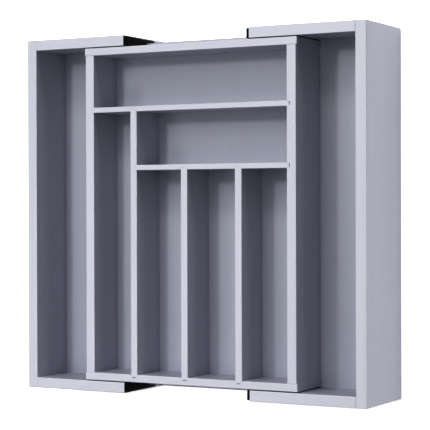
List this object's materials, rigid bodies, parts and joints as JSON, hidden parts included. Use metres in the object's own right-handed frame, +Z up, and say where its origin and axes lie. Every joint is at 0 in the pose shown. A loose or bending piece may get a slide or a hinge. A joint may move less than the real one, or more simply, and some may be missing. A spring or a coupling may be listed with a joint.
{
  "type": "expanding cutlery tray",
  "caption": "Painted wooden cutlery tray with a divided centre tray, and side trays that slide out along its front and back walls to widen it.",
  "frame": {"origin": "middle of the drawn-out tray, on the surface that it stands on", "axes": "+X across the tray, the way the right side tray draws out; +Y to the back; +Z up"},
  "size_m": [0.459, 0.433, 0.102],
  "materials": {
    "painted_wood": "pale lavender grey satin paint over fine-grained wood",
    "painted_panel": "pale lavender grey satin paint over thin board",
    "beech": "bare turned beech",
    "black_plastic": "matt black moulded plastic",
    "black_steel": "black oxide steel"
  },
  "bodies": {
    "centre_tray": {"centre_front_wall": "painted_wood", "centre_back_wall": "painted_wood", "centre_left_wall": "painted_wood", "centre_right_wall": "painted_wood", "back_divider": "painted_wood", "middle_divider": "painted_wood", "long_slot_divider": "painted_wood", "left_slot_divider": "painted_wood", "right_slot_divider": "painted_wood", "front_rail": "painted_wood", "back_rail": "painted_wood", "centre_base": "painted_panel", "centre_dowels": "beech"},
    "left_tray": {"left_end_wall": "painted_wood", "left_front_arm": "painted_wood", "left_back_arm": "painted_wood", "left_base": "painted_panel", "left_dowels": "beech", "left_front_end_stop": "black_plastic", "left_back_end_stop": "black_plastic", "left_stop_screws": "black_steel"},
    "right_tray": {"right_end_wall": "painted_wood", "right_front_arm": "painted_wood", "right_back_arm": "painted_wood", "right_base": "painted_panel", "right_dowels": "beech", "right_front_end_stop": "black_plastic", "right_back_end_stop": "black_plastic", "right_stop_screws": "black_steel"}
  },
  "joints": [
    {"name": "left_slide", "type": "slide", "parent": "centre_tray", "child": "left_tray", "axis": [-1, 0, 0], "range_m": [-0.0715, 0]},
    {"name": "right_slide", "type": "slide", "parent": "centre_tray", "child": "right_tray", "axis": [1, 0, 0], "range_m": [-0.0715, 0]}
  ]
}
